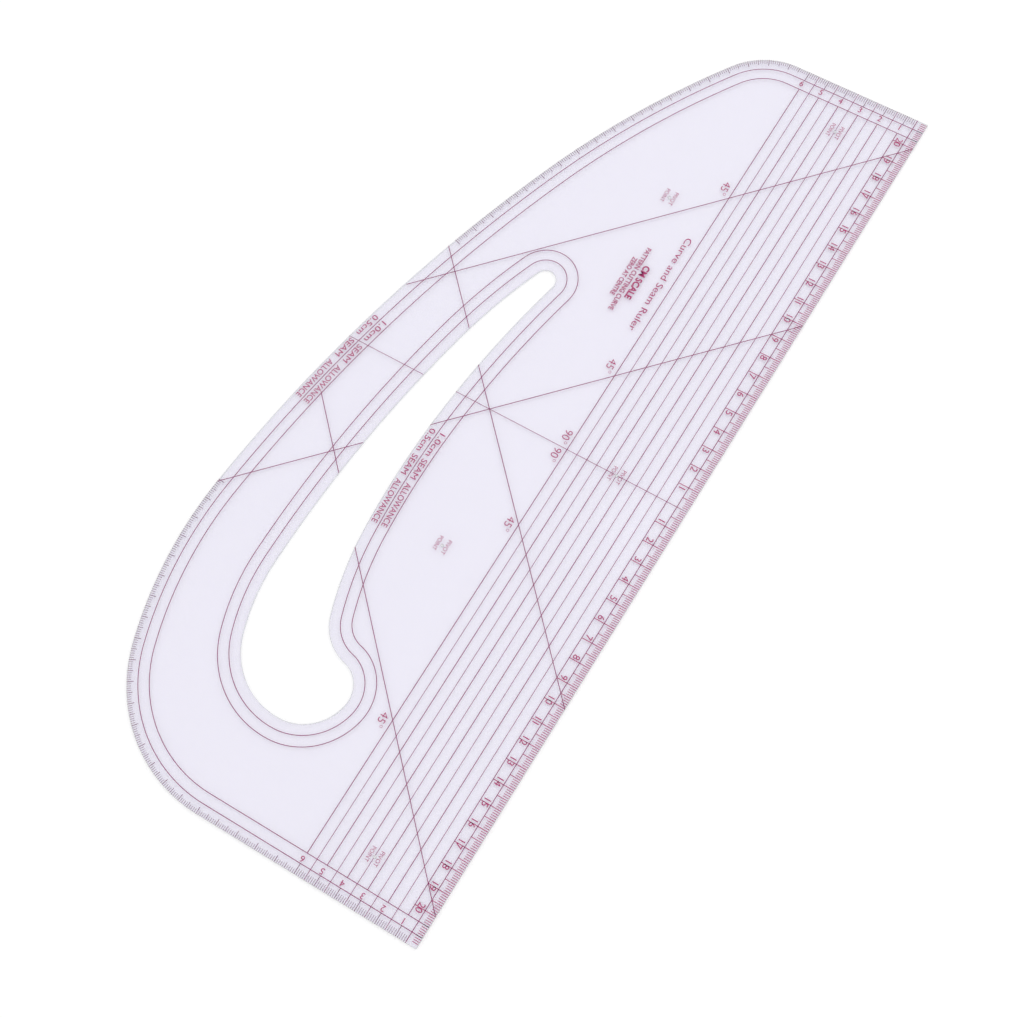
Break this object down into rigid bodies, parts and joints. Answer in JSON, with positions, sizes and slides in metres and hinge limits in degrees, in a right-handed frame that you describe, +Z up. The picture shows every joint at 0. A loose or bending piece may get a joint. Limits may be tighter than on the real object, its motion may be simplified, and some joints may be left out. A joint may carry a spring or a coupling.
{
  "type": "french curve",
  "caption": "Flat clear plastic french curve with a straight ruled edge, a long curved slot, pivot holes and printed scales and seam allowance lines.",
  "frame": {"origin": "the zero mark on the ruling edge, with the underside at z = 0", "axes": "+X along the ruling edge from the small end to the big curved end, +Y out through the ruling edge, +Z up through the printed face"},
  "size_m": [0.4289, 0.1883, 0.0012],
  "materials": {
    "clear_plastic": "clear glossy acrylic sheet, faintly blue",
    "printed_ink": "crimson screen print on the upper face"
  },
  "bodies": {
    "root": {"angle_labels": "printed_ink", "blade": "clear_plastic", "centimetre_lines": "printed_ink", "centre_line": "printed_ink", "diagonal_lines": "printed_ink", "half_centimetre_lines": "printed_ink", "left_end_numerals": "printed_ink", "left_end_scale": "printed_ink", "outer_seam_legend": "printed_ink", "outer_seam_line_10mm": "printed_ink", "outer_seam_line_5mm": "printed_ink", "pivot_marks": "printed_ink", "right_end_numerals": "printed_ink", "right_end_scale": "printed_ink", "ruling_edge_numerals": "printed_ink", "ruling_edge_scale": "printed_ink", "slot_seam_legend": "printed_ink", "slot_seam_line_10mm": "printed_ink", "slot_seam_line_5mm": "printed_ink", "title_lettering": "printed_ink"}
  },
  "joints": []
}
